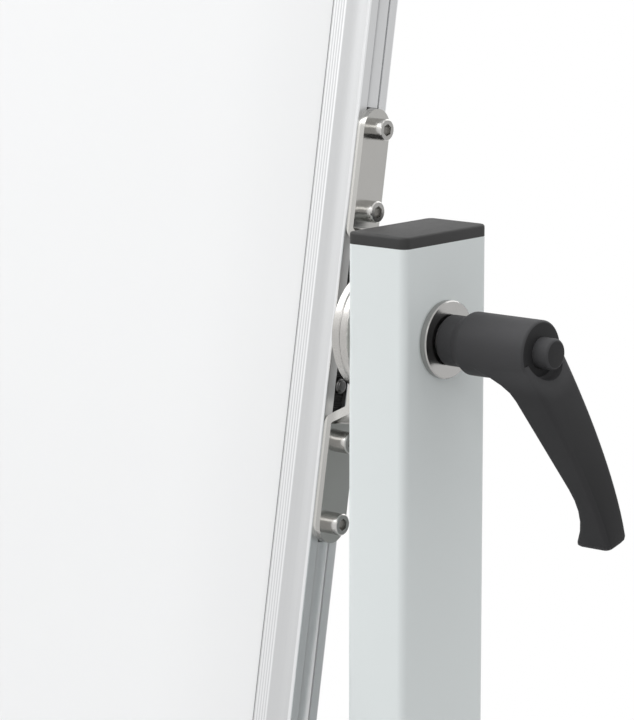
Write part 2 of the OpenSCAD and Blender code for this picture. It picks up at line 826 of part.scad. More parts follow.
arm_rings = concat(
    [for (i = [0 : arm_stations])
        arm_section(arm_start + (lever_len - arm_end_r - arm_start) * pow(i / arm_stations, 1.3), 0)],
    [for (a = [30 : 30 : 90])
        arm_section(lever_len - arm_end_r * (1 - sin(a)), arm_end_r * (1 - cos(a)))]
);

// A closed skin of triangles over equal rings of points
module skin(rings) {
    n = len(rings[0]);
    last = len(rings) - 1;
    polyhedron(
        points = [for (ring = rings) each ring],
        faces = concat(
            [for (i = [1 : n - 2]) [0, i + 1, i]],
            [for (i = [1 : n - 2]) [last * n, last * n + i, last * n + i + 1]],
            [for (j = [0 : last - 1], i = [0 : n - 1]) [j * n + i, j * n + (i + 1) % n, (j + 1) * n + i]],
            [for (j = [0 : last - 1], i = [0 : n - 1])
                [j * n + (i + 1) % n, (j + 1) * n + (i + 1) % n, (j + 1) * n + i]]
        )
    );
}
module at_lever(s) {
    side(s) at_pivot() children();
}
module lever_hub() {
    turned_x(rounded([
        [0, neck_x, 0],
        [neck_d / 2, neck_x, bevel],
        [neck_d / 2, flare_x, 2],
        [hub_r, shoulder_x, 2],
        [hub_r, hub_end, hub_rim_r],
        [0, hub_end, 0]
    ]));
}
module lever_handle(s) {
    color(black) at_lever(s) difference() {
        union() {
            lever_hub();
            rotate([lever_lean, 0, 0]) difference() {
                skin(arm_rings);
                turned_x(rounded([
                    [0, hub_end - spot_sink, 0],
                    [spot_r, hub_end - spot_sink, spot_fillet],
                    [spot_r, hub_end + 2 * lever_rise, 0],
                    [0, hub_end + 2 * lever_rise, 0]
                ]));
            }
        }
        rod_x(neck_x - 1, insert_end, insert_d / 2 + push_fit);
        rod_x(neck_x, hub_end, stem_r + hole_fit);
        rod_x(button_floor, hub_end + 1, button_d / 2 + push_fit);
    }
}
module lever_insert(s) {
    collar_r = insert_d / 2 + 1.5;
    color(steel) at_lever(s) difference() {
        union() {
            turned_x(disc_outline(0, collar_r, insert_x, neck_x, push_fit));
            rod_x(neck_x - 0.2, insert_x + insert_len, insert_d / 2);
        }
        rod_x(insert_x - 1, bolt_end + thread_spare / 2, bolt_d / 2 + run_fit);
    }
}
module lever_button(s) {
    color(black) at_lever(s) turned_x(rounded([
        [0, stem_end, 0],
        [stem_r, stem_end, bevel],
        [stem_r, button_back, 0],
        [button_d / 2, button_back, bevel],
        [button_d / 2, hub_end + button_out, 1.6],
        [0, hub_end + button_out, 0]
    ]));
}

// Button spring: one wire wound between the hub's floor and the back of the button
spring_from = button_floor + spring_wire / 2 + push_fit;
spring_to = button_back - spring_wire / 2 - push_fit;
spring_rings_per_turn = 12;
spring_gap = (spring_to - spring_from) / spring_turns - spring_wire;
function spring_ring(t) =
    let (a = 360 * spring_turns * t, x = spring_from + (spring_to - spring_from) * t)
    [for (k = [0 : 5])
        let (rad = spring_d / 2 + spring_wire / 2 * cos(60 * k))
        [x + spring_wire / 2 * sin(60 * k), rad * cos(a), rad * sin(a)]];
module lever_spring(s) {
    steps = ceil(spring_rings_per_turn * spring_turns);
    echo(least_gap_of_spring = spring_gap);
    color(steel) at_lever(s) skin([for (i = [0 : steps]) spring_ring(i / steps)]);
}

// Paper hooks, which slide in the slot of the top rail
module hook_outline() {
    foot_half = chamber_w / 2 - slide_gap;
    neck_half = slot_w / 2 - slide_gap;
    foot_top_y = -slot_lip - slide_gap;
    leg = -rail_depth / 2 - slide_gap;
    translate([-foot_half, slide_gap - slot_lip - chamber_d])
        square([2 * foot_half, foot_top_y - slide_gap + slot_lip + chamber_d]);
    translate([-neck_half, foot_top_y - 1]) square([2 * neck_half, 2 + slot_lip + slide_gap]);
    polygon(rounded([
        [rail_depth / 2 - 2, slide_gap, 0.5],
        [leg, slide_gap, slide_gap],
        [leg, -hook_drop, 0.5],
        [leg - hook_t, -hook_drop, 0.5],
        [leg - hook_t, slide_gap + hook_t, hook_t],
        [rail_depth / 2 - 2, slide_gap + hook_t, 1.5]
    ]));
}
module paper_hook(s) {
    peg_from = rail_depth / 2 + slide_gap + hook_t / 2;
    peg_to = rail_depth / 2 + slide_gap + hook_t + peg_len;
    color(black) side(s) on_board() translate([hook_x, 0, board_h / 2]) {
        across(hook_w) hook_outline();
        translate([0, 0, peg_d - hook_drop]) rotate([90, 0, 0])
            rotate_extrude() polygon(rounded([
                [0, peg_from, 0],
                [peg_d / 2, peg_from, 0],
                [peg_d / 2, peg_to, 1.5],
                [0, peg_to, 0]
            ]));
    }
}

// Castors: y runs from the swivel axis towards the wheel
module at_castor(i) {
    translate([castor_side[i] * post_mid_x, castor_end[i] * castor_y, 0])
        mirror([0, castor_end[i] < 0 ? 1 : 0, 0]) children();
}
module at_axle() {
    translate([0, castor_trail, axle_z]) children();
}
module fork_plate() {
    polygon(rounded([
        [-fork_crown_r, fork_top, 3],
        [-fork_crown_r, bearing_z - stem_head, 5],
        [castor_trail - fork_boss - 2, axle_z - fork_boss, fork_boss - 1],
        [castor_trail + fork_boss + 2, axle_z - fork_boss, fork_boss - 1],
        [pedal_pin.x + pedal_pin_d + 2, pedal_pin.y - pedal_pin_d, 5],
        [pedal_pin.x + pedal_pin_d, pedal_pin.y + pedal_pin_d + 2, 5],
        [fork_crown_r, fork_top, 3]
    ]));
}
module castor_fork(i) {
    plate_mid = fork_gap + fork_t / 2;
    color(steel) at_castor(i) difference() {
        union() {
            for (s = [-1, 1])
                translate([s * plate_mid, 0, 0]) across(fork_t) fork_plate();
            translate([-plate_mid, -fork_crown_r + 3, fork_top - fork_t])
                cube([2 * plate_mid, 2 * fork_crown_r - 6, fork_t]);
            translate([0, 0, bearing_z]) cylinder(h = bearing_h, d = stem_d + 2 * bearing_wall);
            translate([0, pedal_pin.x, pedal_pin.y])
                rod_x(-plate_mid, plate_mid, pedal_pin_d / 2);
        }
        translate([0, 0, bearing_z - 1]) cylinder(h = bearing_h + 2, d = stem_d + 2 * run_fit);
        at_axle() rod_x(-fork_gap - fork_t - 1, fork_gap + fork_t + 1, axle_d / 2 + push_fit);
    }
}
module castor_axle(i) {
    out = fork_gap + fork_t;
    color(steel) at_castor(i) at_axle() {
        rod_x(-out - 1, out + 1, axle_d / 2);
        for (s = [-1, 1])
            mirror([s < 0 ? 1 : 0, 0, 0])
                turned_x(disc_outline(0, axle_d / 2 + 3, out, out + 3.5, 1));
    }
}
module castor_wheel(i) {
    hub_half = fork_gap - slide_gap;
    rim_half = tyre_w / 2 - 1;
    color(rubber) at_castor(i) at_axle() turned_x(rounded([
        [axle_d / 2 + run_fit, -hub_half, 0],
        [axle_d / 2 + hub_wall, -hub_half, 1],
        [axle_d / 2 + hub_wall + 1, -web_half, 1.5],
        [tyre_in_r - rim_t - 1, -web_half, 1.5],
        [tyre_in_r - rim_t, -rim_half, 1],
        [tyre_in_r, -rim_half, 0],
        [tyre_in_r, rim_half, 0],
        [tyre_in_r - rim_t, rim_half, 1],
        [tyre_in_r - rim_t - 1, web_half, 1.5],
        [axle_d / 2 + hub_wall + 1, web_half, 1.5],
        [axle_d / 2 + hub_wall, hub_half, 1],
        [axle_d / 2 + run_fit, hub_half, 0]
    ]));
}
module castor_tyre(i) {
    color(black) at_castor(i) at_axle() turned_x(rounded([
        [tyre_in_r, -tyre_w / 2 + 1, 0],
        [tyre_in_r + 1, -tyre_w / 2, 0.5],
        [wheel_d / 2, -tyre_w / 2, tyre_round],
        [wheel_d / 2, tyre_w / 2, tyre_round],
        [tyre_in_r + 1, tyre_w / 2, 0.5],
        [tyre_in_r, tyre_w / 2 - 1, 0]
    ]));
}
// A brake pedal on its pin; its shoe swings down towards the tyre
module brake_pedal(i) {
    half_w = fork_gap - slide_gap;
    wall = pedal_pin_d / 2 + 2;
    shoe_at = 7;
    shoe_low = axle_z + sqrt(pow(wheel_d / 2 + shoe_gap, 2) - pow(pedal_pin.x + shoe_at - castor_trail, 2));
    color(black) at_castor(i) translate([0, pedal_pin.x, pedal_pin.y]) difference() {
        across(2 * half_w) polygon(rounded([
            [-wall - 1, 1 - wall, 2],
            [-wall, wall + 1, 3],
            [2 * wall, wall + 2, 4],
            [pedal_len, -2, 2],
            [pedal_len - 1, -6, 1.5],
            [2 * shoe_at, -2, 3],
            [shoe_at, shoe_low - pedal_pin.y, 1],
            [shoe_at - wall, -wall - 1, 1]
        ]));
        rod_x(-half_w - 1, half_w + 1, pedal_pin_d / 2 + run_fit);
    }
}

post(1);  // post_right
post(-1);  // post_left
post_caps();
foot(1);  // foot_right
foot(-1);  // foot_left
foot_plugs();
crossbar();
crossbar_bolts();
foot_bolts();
pivot_bolts();
pivot_sleeves();
clamp_washers();
post_discs();
castor_stems();
frame_top();
frame_bottom();
frame_side(-1);  // frame_left
frame_side(1);  // frame_right
frame_corners();
panel_core();
front_sheet();
back_sheet();
slot_covers();
bracket(1);  // bracket_right
bracket(-1);  // bracket_left
bracket_screws();
slot_nut_bars();
slot_set_screws();
board_discs();
pen_tray();
pen_tray_caps();
pen_tray_screws();
lever_handle(1);  // lever_handle_right
lever_insert(1);  // lever_insert_right
lever_spring(1);  // lever_spring_right
lever_button(1);  // lever_button_right
lever_handle(-1);  // lever_handle_left
lever_insert(-1);  // lever_insert_left
lever_spring(-1);  // lever_spring_left
lever_button(-1);  // lever_button_left
paper_hook(1);  // paper_hook_right
paper_hook(-1);  // paper_hook_left
for (i = [0 : 3]) {
    castor_fork(i);
    castor_axle(i);
    castor_wheel(i);
    castor_tyre(i);
}
for (i = braked)
    brake_pedal(i);
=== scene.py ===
"""Looks of a flip chart easel: finishes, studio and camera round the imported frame."""

import json
import math

import bmesh
import bpy
from bpy.props import FloatProperty, FloatVectorProperty, PointerProperty
from mathutils import Matrix, Vector


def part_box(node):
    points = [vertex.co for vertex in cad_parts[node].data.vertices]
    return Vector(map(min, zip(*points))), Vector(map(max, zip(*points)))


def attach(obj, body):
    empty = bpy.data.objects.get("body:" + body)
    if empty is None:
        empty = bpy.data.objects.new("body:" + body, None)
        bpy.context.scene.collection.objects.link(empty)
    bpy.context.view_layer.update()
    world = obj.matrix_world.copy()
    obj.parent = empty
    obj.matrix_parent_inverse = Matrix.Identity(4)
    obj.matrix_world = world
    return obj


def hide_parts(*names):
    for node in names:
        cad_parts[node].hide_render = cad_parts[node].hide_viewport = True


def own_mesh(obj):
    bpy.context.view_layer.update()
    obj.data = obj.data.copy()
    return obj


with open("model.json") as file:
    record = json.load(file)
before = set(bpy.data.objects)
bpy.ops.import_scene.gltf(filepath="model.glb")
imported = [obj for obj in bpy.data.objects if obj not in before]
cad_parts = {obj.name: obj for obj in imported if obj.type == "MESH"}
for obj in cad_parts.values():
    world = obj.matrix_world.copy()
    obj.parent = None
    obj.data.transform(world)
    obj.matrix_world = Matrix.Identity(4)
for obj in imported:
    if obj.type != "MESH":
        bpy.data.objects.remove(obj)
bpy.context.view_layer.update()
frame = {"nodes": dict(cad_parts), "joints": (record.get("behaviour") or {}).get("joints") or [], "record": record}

bl_info = {
    "name": "Flip Chart Easel Looks",
    "version": (1, 0, 0),
    "blender": (4, 5, 0),
    "location": "View3D > Sidebar > Easel",
    "description": "Finishes, studio and camera for the packed flip chart easel",
    "category": "Object",
}

NODES = frame["nodes"]
RECORD_COLOURS = {m["slot"]: tuple(m["base_color"][:3]) for m in frame["record"]["materials"]}
JOINTS = {j["name"]: j for j in frame["joints"]}
SIDES = ("right", "left")
CORNERS = ("front_right", "front_left", "rear_right", "rear_left")
BRAKED_CORNERS = CORNERS[:2]

MM = 0.001
PIVOT = Vector(JOINTS["board_tilt"]["pos_m"])
BOARD_LEAN = math.radians(10)
BOARD_TURN = (-BOARD_LEAN, 0, 0)

# Smooth shading of pieces
WELD_GAP = 0.002 * MM
SHARP_ANGLE = math.radians(32)

# Rails: sizes of their zones, and tones as factors of the aluminium, for painted highlights on the bead and the
# rounded edges, painted shade in the bead's grooves and a painted shadow along the panel
BEAD_WIDTH = 8.9 * MM
BEAD_GROOVES = 5
BEAD_BLUR = 0.15 * MM
EDGE_WIDTH = 1.3 * MM
EDGE_DEPTH = 1.4 * MM
PANEL_SHADOW_WIDTH = 1.4 * MM
FULL_TONE = 1.0 * MM
BEAD_PAINTED_HIGHLIGHT = 1.33
GROOVE_PAINTED_SHADE = 1.04
PANEL_PAINTED_SHADOW = 0.45
PAINTED_LIGHT_VARIATION = 0.04
DRAWN_VARIATION = 0.07
DRAWN_STRETCH = 900

# Writing surface: the margin along the frame, where shade is painted
FRAME_SHADE_MARGIN = 70 * MM
FRAME_PAINTED_SHADE = 0.95
ENAMEL_VARIATION = 0.006

# Pivots: brackets, screws, discs and set screws, with painted highlights on cut edges and screw rims, painted
# shade on the outer half of the brackets' edges and painted light on the discs' faces
LINE_START = 2.7 * MM
LINE_FULL = 2.3 * MM
LINE_FADE = 4.0 * MM
PLATED_FACES = (0.72, 0.92)
TURNED_FACES = (0.85, 0.97)
TURNED_VARIATION = 0.09
RING_PITCH = 0.16 * MM
RIB_PITCH = 1.1 * MM
DISC_TINT = 1.07
DISC_FACE_PAINTED_LIGHT = 1.8
SCREW_HEAD_RADIUS = 5.0 * MM
SCREW_HEAD_HEIGHT = 6.0 * MM
SEAT_HEIGHT = 0.8 * MM
SEAT_PROUD = 0.01 * MM
SEAT_SIDES = 64
SEAL_RADIUS = 2.7 * MM
SEAL_HEIGHT = 1.4 * MM
SEAL_ROUND = 0.45 * SEAL_HEIGHT
SEAL_ROUND_STEPS = 5
SEAL_SIDES = 32
RIM_ANGLE = 1.0

# Levers: places along and round the hub, tones as factors with painted light on the hub and painted shade on its
# neck and end faces, and the button's spring
NECK_PLACE = 5.0 * MM
HUB_RIM_PLACE = 55.0 * MM
ARM_ROOT = (14.0 * MM, 21.0 * MM)
END_FACES = (0.9, 0.98)
ARM_TINT = 1.47
HUB_PAINTED_LIGHT = 1.9
END_PAINTED_SHADE = 1.05
NECK_PAINTED_SHADE = 0.92
HUB_RIM_PAINTED_LIGHT = 1.2
PLASTIC_VARIATION = 0.16
SPRING_RADIUS = 5.2 * MM
SPRING_WIRE = 1.0 * MM
SPRING_TURNS = 3
TURN_STEPS = 24
WIRE_SIDES = 12

# Castors
FLOOR_DUST = (0.42, 0.41, 0.39, 1)

# Studio: each lamp's place, and its width and height in metres
LAMPS = {
    "key": ((-0.4, -2.6, 4.4), (2.4, 2.4)),
    "window": ((-1.9, -0.9, 3.9), (2.8, 2.8)),
    "left": ((-3.44, -1.39, 2.94), (5.0, 3.0)),
    "accent": ((2.93, -2.48, 3.14), (1.1, 1.1)),
    "top": ((0.6, 0.4, 4.2), (2.0, 2.0)),
    "back": ((0.4, 3.4, 3.2), (2.6, 2.6)),
}
AMBIENT_RISE = 0.35
WHITE = (1, 1, 1, 1)
FLOOR_SIDES = 96
FLOOR_FADE = (0.45, 0.98)
SENSOR_WIDTH = 36.0
VIEW_LIMIT = 60.0


class Wire:
    """A shader socket with Python arithmetic: an expression adds its Math nodes."""

    def __init__(self, finish, socket):
        self.finish = finish
        self.socket = socket

    def math(self, operation, *values):
        return self.finish.node("ShaderNodeMath", {"operation": operation}, dict(enumerate(values)))

    def __add__(self, other):
        return self.math("ADD", self, other)

    def __radd__(self, other):
        return self.math("ADD", other, self)

    def __sub__(self, other):
        return self.math("SUBTRACT", self, other)

    def __rsub__(self, other):
        return self.math("SUBTRACT", other, self)

    def __mul__(self, other):
        return self.math("MULTIPLY", self, other)

    def __rmul__(self, other):
        return self.math("MULTIPLY", other, self)

    def __truediv__(self, other):
        return self.math("DIVIDE", self, other)

    def __rtruediv__(self, other):
        return self.math("DIVIDE", other, self)

    def __pow__(self, other):
        return self.math("POWER", self, other)

    def __abs__(self):
        return self.math("ABSOLUTE", self)

    def sine(self):
        return self.math("SINE", self)

    def cosine(self):
        return self.math("COSINE", self)

    def larger(self, other):
        """The larger of two values."""
        return self.math("MAXIMUM", self, other)

    def ramp(self, low, high):
        """Rises smoothly from 0 at low to 1 at high."""
        settings = {"interpolation_type": "SMOOTHSTEP"}
        return self.finish.node("ShaderNodeMapRange", settings, {"Value": self, 1: low, 2: high})


class Finish:
    """The node tree of one material or of the world."""

    def __init__(self, tree):
        self.tree = tree
        tree.nodes.clear()

    def node(self, kind, settings=None, sockets=None, out=0):
        made = self.tree.nodes.new(kind)
        for name, value in (settings or {}).items():
            setattr(made, name, value)
        for key, value in (sockets or {}).items():
            if isinstance(value, Wire):
                self.tree.links.new(value.socket, made.inputs[key])
            else:
                made.inputs[key].default_value = value
        return Wire(self, made.outputs[out]) if made.outputs else None

    def spot(self, size=(1, 1, 1), turn=(0, 0, 0), centre=(0, 0, 0)):
        """Object coordinates counted in a pattern's own sizes, so one unit is one feature."""
        place = self.node("ShaderNodeTexCoord", out="Object")
        sockets = {"Vector": place, "Location": centre, "Rotation": turn, "Scale": size}
        return self.node("ShaderNodeMapping", {"vector_type": "TEXTURE"}, sockets)

    def noise(self, where, detail=2.0, roughness=0.5):
        sockets = {"Vector": where, "Scale": 1.0, "Detail": detail, "Roughness": roughness}
        return self.node("ShaderNodeTexNoise", sockets=sockets)

    def even_noise(self, size, detail=2.0, roughness=0.5):
        """Noise whose features have one size in every direction."""
        return self.noise(self.spot((size, size, size)), detail, roughness)

    def blend(self, share, first, second):
        """Mixes two colours, each a wire or a plain colour."""
        sockets = {0: share, 6: first, 7: second}
        return self.node("ShaderNodeMix", {"data_type": "RGBA"}, sockets, out=2)

    def shade(self, colour, share, amount):
        """A colour that varies by amount, darker to lighter, with a share from 0 to 1."""
        dark = tuple(c * (1 - amount) for c in colour) + (1,)
        light = tuple(min(1, c * (1 + amount)) for c in colour) + (1,)
        return self.blend(share, dark, light)

    def bump(self, height, depth, strength):
        sockets = {"Height": height, "Distance": depth, "Strength": strength}
        return self.node("ShaderNodeBump", sockets=sockets)

    def surface(self, **sockets):
        """Ends a material in one shader, whose sockets are given in lower case."""
        titles = {key: key.replace("_", " ").title().replace("Ior", "IOR") for key in sockets}
        named = {titles[key]: value for key, value in sockets.items()}
        shader = self.node("ShaderNodeBsdfPrincipled", sockets=named)
        self.node("ShaderNodeOutputMaterial", sockets={"Surface": shader})


def new_material(name):
    material = bpy.data.materials.new(name)
    material.use_nodes = True
    return material, Finish(material.node_tree)


def tinted(colour, factor):
    return tuple(c * factor for c in colour)


def axis_of(f, vector, axis):
    return f.node("ShaderNodeSeparateXYZ", sockets={"Vector": vector}, out=axis)


def board_spot(f, size=(1, 1, 1)):
    """Coordinates from the pivot along the board's own axes."""
    return f.spot(size, BOARD_TURN, PIVOT)


def pivot_distance(f):
    """Distance of a point from the axis that board and levers turn on."""
    place = f.spot(centre=PIVOT)
    across, up = axis_of(f, place, "Y"), axis_of(f, place, "Z")
    return (across * across + up * up) ** 0.5


def sideways(f, low, high):
    """0 on edges and rims, 1 on faces that look to the left or right."""
    return abs(axis_of(f, f.node("ShaderNodeTexCoord", out="Normal"), "X")).ramp(low, high)


def board_reach(name, axis):
    """Least and greatest distance of a node from the pivot along one axis of the board."""
    level = Matrix.Rotation(BOARD_LEAN, 3, "X")
    reach = [abs((level @ (v.co - PIVOT))[axis]) for v in NODES[name].data.vertices]
    return min(reach), max(reach)


def powder_coat(name, colour):
    """Satin paint with the faint orange peel of a baked powder."""
    material, f = new_material(name)
    clouds = f.even_noise(90 * MM, detail=3)
    peel = f.even_noise(1.5 * MM, detail=1)
    fine = f.even_noise(0.3 * MM, detail=2)
    streaks = f.noise(f.spot((3 * MM, 3 * MM, 45 * MM)), detail=4, roughness=0.65)
    scuffs = streaks.ramp(0.62, 0.8)
    f.surface(
        base_color=f.shade(colour, clouds, amount=0.018),
        roughness=0.38 + 0.08 * clouds + 0.06 * fine + 0.08 * scuffs,
        normal=f.bump(peel + 0.25 * fine, depth=0.03 * MM, strength=0.6),
    )
    return material


def lever_zones(f, arm, share, hub, ends):
    """Paints light on a lever's hub, lighter than its arm, darker at the neck and lighter towards the button, and
    paints shade on its end faces.
    """
    foot = abs(JOINTS["lever_right_turn"]["pos_m"][0])
    along = abs(axis_of(f, f.spot(), "X")).ramp(foot + NECK_PLACE, foot + HUB_RIM_PLACE)
    neck = f.shade(tinted(hub, NECK_PAINTED_SHADE), share, PLASTIC_VARIATION)
    rim = f.shade(tinted(hub, HUB_RIM_PAINTED_LIGHT), share, PLASTIC_VARIATION)
    whole = f.blend(pivot_distance(f).ramp(*ARM_ROOT), f.blend(along, neck, rim), arm)
    return f.blend(sideways(f, *END_FACES), whole, f.shade(ends, share, PLASTIC_VARIATION))


def moulded_plastic(name, colour, grain=0.28 * MM, gloss=0.46, specular=0.26, hub=None, ends=None):
    """Plastic with the eroded grain of its mould; a lever also has painted light on its hub and painted shade on
    its ends.
    """
    material, f = new_material(name)
    clouds = f.even_noise(24 * MM, detail=3)
    pits = f.even_noise(grain, detail=3, roughness=0.6)
    flow = f.noise(f.spot((4 * MM, 4 * MM, 30 * MM)), detail=2)
    share = 0.7 * clouds + 0.3 * pits
    tone = f.shade(colour, share, PLASTIC_VARIATION)
    if hub and ends:
        tone = lever_zones(f, tone, share, hub, ends)
    f.surface(
        base_color=tone,
        roughness=gloss + 0.1 * pits + 0.08 * flow,
        specular_ior_level=specular,
        normal=f.bump(pits, depth=0.03 * MM, strength=0.7),
    )
    return material


def rail_zones(f, tone, share, colour, across_axis, rail):
    """Paints highlights on a rail's bead and rounded edges, shade in the bead's grooves and a shadow along the
    panel.
    """
    inner, outer = board_reach(rail, across_axis)
    front = board_reach(rail, 1)[1]
    place = board_spot(f)
    across, depth = abs(axis_of(f, place, across_axis)), abs(axis_of(f, place, 1))
    # Masks of the painted highlights on the bead and the outer edge, and of the painted shadow along the panel
    bead = 1 - across.ramp(inner + BEAD_WIDTH - BEAD_BLUR, inner + BEAD_WIDTH + BEAD_BLUR)
    beside = across.ramp(outer - EDGE_WIDTH, outer - FULL_TONE)
    edge = beside * depth.ramp(front - EDGE_DEPTH, front - FULL_TONE)
    panel_shadow = 1 - across.ramp(inner + FULL_TONE, inner + PANEL_SHADOW_WIDTH)
    wave = (across - inner) * (2 * math.pi * (BEAD_GROOVES + 1) / BEAD_WIDTH)
    hollow = (0.5 + 0.5 * wave.cosine()) ** 2
    # Tones of the painted highlight, the painted shade in the grooves and the painted shadow along the panel
    highlight_tone = f.shade(tinted(colour, BEAD_PAINTED_HIGHLIGHT), share, PAINTED_LIGHT_VARIATION)
    groove_shade = f.shade(tinted(colour, GROOVE_PAINTED_SHADE), share, PAINTED_LIGHT_VARIATION)
    dark = f.shade(tinted(colour, PANEL_PAINTED_SHADOW), share, DRAWN_VARIATION)
    painted_ridges = f.blend(hollow * bead, highlight_tone, groove_shade)
    return f.blend(panel_shadow, f.blend(bead + edge, tone, painted_ridges), dark)


def extruded_aluminium(name, colour, length_axis, rail=None):
    """Satin anodised aluminium with the drawn lines of its extrusion along one axis."""
    material, f = new_material(name)
    stretch = [1, 1, 1]
    stretch[length_axis] = DRAWN_STRETCH
    lines = f.noise(board_spot(f, [0.22 * MM * s for s in stretch]), detail=3, roughness=0.6)
    bands = f.noise(board_spot(f, [2.2 * MM * s for s in stretch]), detail=2)
    clouds = f.even_noise(60 * MM, detail=3)
    share = 0.5 * lines + 0.3 * bands + 0.2 * clouds
    tone = f.shade(colour, share, DRAWN_VARIATION)
    if rail:
        tone = rail_zones(f, tone, share, colour, 2 - length_axis, rail)
    f.surface(
        base_color=tone,
        metallic=1.0,
        roughness=0.27 + 0.12 * lines + 0.05 * clouds,
        normal=f.bump(lines + 0.6 * bands, depth=0.012 * MM, strength=0.6),
    )
    return material


def writing_enamel(name, colour):
    """White enamelled steel: glossy, slightly wavy, faintly wiped, with painted shade along the frame."""
    material, f = new_material(name)
    place = board_spot(f)
    side, top = board_reach("frame_right", 0)[0], board_reach("frame_top", 2)[0]
    beside = abs(axis_of(f, place, "X")).ramp(side - FRAME_SHADE_MARGIN, side)
    below = abs(axis_of(f, place, "Z")).ramp(top - FRAME_SHADE_MARGIN, top)
    peel = f.even_noise(0.8 * MM, detail=1)
    wiped = f.noise(board_spot(f, (240 * MM, 80 * MM, 60 * MM)), detail=2)
    clouds = f.even_noise(220 * MM, detail=2)
    clear = f.shade(colour, 0.5 * wiped + 0.5 * clouds, ENAMEL_VARIATION)
    # Painted shade on the enamel near the frame
    frame_shade = f.shade(tinted(colour, FRAME_PAINTED_SHADE), wiped, ENAMEL_VARIATION)
    f.surface(
        base_color=f.blend(beside.larger(below), clear, frame_shade),
        roughness=0.3 + 0.06 * wiped,
        coat_weight=0.2,
        coat_roughness=0.1,
        normal=f.bump(peel, depth=0.004 * MM, strength=0.3),
    )
    return material


def core_board(name, colour):
    """Brown fibre board of the panel's core."""
    material, f = new_material(name)
    fibres = f.noise(f.spot((6 * MM, 0.5 * MM, 1.2 * MM)), detail=4, roughness=0.65)
    f.surface(
        base_color=f.shade(colour, fibres, amount=0.25),
        roughness=0.8 + 0.1 * fibres,
        normal=f.bump(fibres, depth=0.1 * MM, strength=0.6),
    )
    return material


def bracket_face():
    """Distance from the pivot to the faces of the brackets that the screws' heads stand on."""
    return board_reach("bracket_screws", 0)[1] - SCREW_HEAD_HEIGHT


def bracket_shade_band(f):
    """1 along the outer half of a bracket's cut edges, where shade is painted, 0 elsewhere."""
    reach = abs(axis_of(f, board_spot(f), "X"))
    face = bracket_face()
    return reach.ramp(face - LINE_START, face - LINE_FULL) * (1 - reach.ramp(face, face + LINE_FADE))


def plated_steel(name, colour, gloss=0.3, variation=0.08, edge=None, outer_edge_shade=None):
    """Plated steel with a tumbled grain; cut edges may carry a painted highlight, and painted shade along their
    outer half.
    """
    material, f = new_material(name)
    pits = f.even_noise(0.22 * MM, detail=3, roughness=0.6)
    clouds = f.even_noise(9 * MM, detail=3)
    streaks = f.noise(f.spot((0.3 * MM, 6 * MM, 9 * MM), turn=(0.5, 0.3, 0.2)), detail=2)
    scratches = streaks.ramp(0.66, 0.8)
    tone = f.shade(colour, 0.6 * clouds + 0.4 * pits, variation)
    if edge:
        # Painted highlight on cut edges and rims, with painted shade on the brackets' outer half
        rim = f.shade(tinted(colour, edge), pits, variation)
        if outer_edge_shade:
            rim = f.blend(bracket_shade_band(f), rim, f.shade(tinted(colour, outer_edge_shade), pits, variation))
        tone = f.blend(sideways(f, *PLATED_FACES), rim, tone)
    f.surface(
        base_color=tone,
        metallic=1.0,
        roughness=gloss + 0.1 * pits + 0.06 * clouds + 0.06 * scratches,
        normal=f.bump(pits - 0.4 * scratches, depth=0.012 * MM, strength=0.5),
    )
    return material


def ribbed_steel(name, colour):
    """Blackened steel rolled with fine ribs across its length, to grip the slot."""
    material, f = new_material(name)
    rib = (axis_of(f, board_spot(f), "Z") * (2 * math.pi / RIB_PITCH)).sine()
    pits = f.even_noise(0.3 * MM, detail=2)
    f.surface(
        base_color=f.shade(colour, 0.5 + 0.3 * rib, amount=0.35),
        metallic=1.0,
        roughness=0.42 + 0.16 * pits,
        normal=f.bump(rib + 0.3 * pits, depth=0.12 * MM, strength=0.7),
    )
    return material


def turned_steel(name, colour, gloss, face=1.0):
    """Steel turned on a lathe about the pivot axis; its flat faces may carry painted light, brighter than its rim.
    """
    material, f = new_material(name)
    depth = pivot_distance(f) + abs(axis_of(f, f.spot(), "X"))
    sockets = {"W": depth / RING_PITCH, "Scale": 1.0}
    rings = f.node("ShaderNodeTexNoise", {"noise_dimensions": "1D"}, sockets)
    clouds = f.even_noise(7 * MM, detail=2)
    share = 0.6 * rings + 0.4 * clouds
    rim = f.shade(colour, share, TURNED_VARIATION)
    # Painted light on the flat faces, by the factor face
    lit_face_steel = f.shade(tinted(colour, face), share, TURNED_VARIATION)
    f.surface(
        base_color=f.blend(sideways(f, *TURNED_FACES), rim, lit_face_steel),
        metallic=1.0,
        roughness=gloss + 0.1 * rings + 0.04 * clouds,
        normal=f.bump(rings, depth=0.01 * MM, strength=0.6),
    )
    return material


def tyre_rubber(name, colour):
    """Grey rubber, dull, with a little dust from the floor."""
    material, f = new_material(name)
    skin = f.even_noise(0.5 * MM, detail=3, roughness=0.6)
    dust = f.even_noise(8 * MM, detail=4, roughness=0.65).ramp(0.45, 0.75)
    worn = f.shade(colour, skin, amount=0.15)
    f.surface(
        base_color=f.blend(0.3 * dust, worn, FLOOR_DUST),
        roughness=0.68 + 0.15 * skin,
        normal=f.bump(skin, depth=0.05 * MM, strength=0.7),
    )
    return material


def keep_edges(piece):
    """Keeps the real edges of a smoothly shaded piece crisp."""
    edges = piece.modifiers.new("edges", "EDGE_SPLIT")
    edges.split_angle = SHARP_ANGLE
    edges.use_edge_sharp = False


def dress(material, *names):
    """Gives CAD nodes a finish and shades their round faces smoothly up to real edges."""
    for name in names:
        node = NODES[name]
        node.data.materials.clear()
        node.data.materials.append(material)
        node.data.polygons.foreach_set("use_smooth", [True] * len(node.data.polygons))
        weld = node.modifiers.new("joined", "WELD")
        weld.merge_threshold = WELD_GAP
        keep_edges(node)


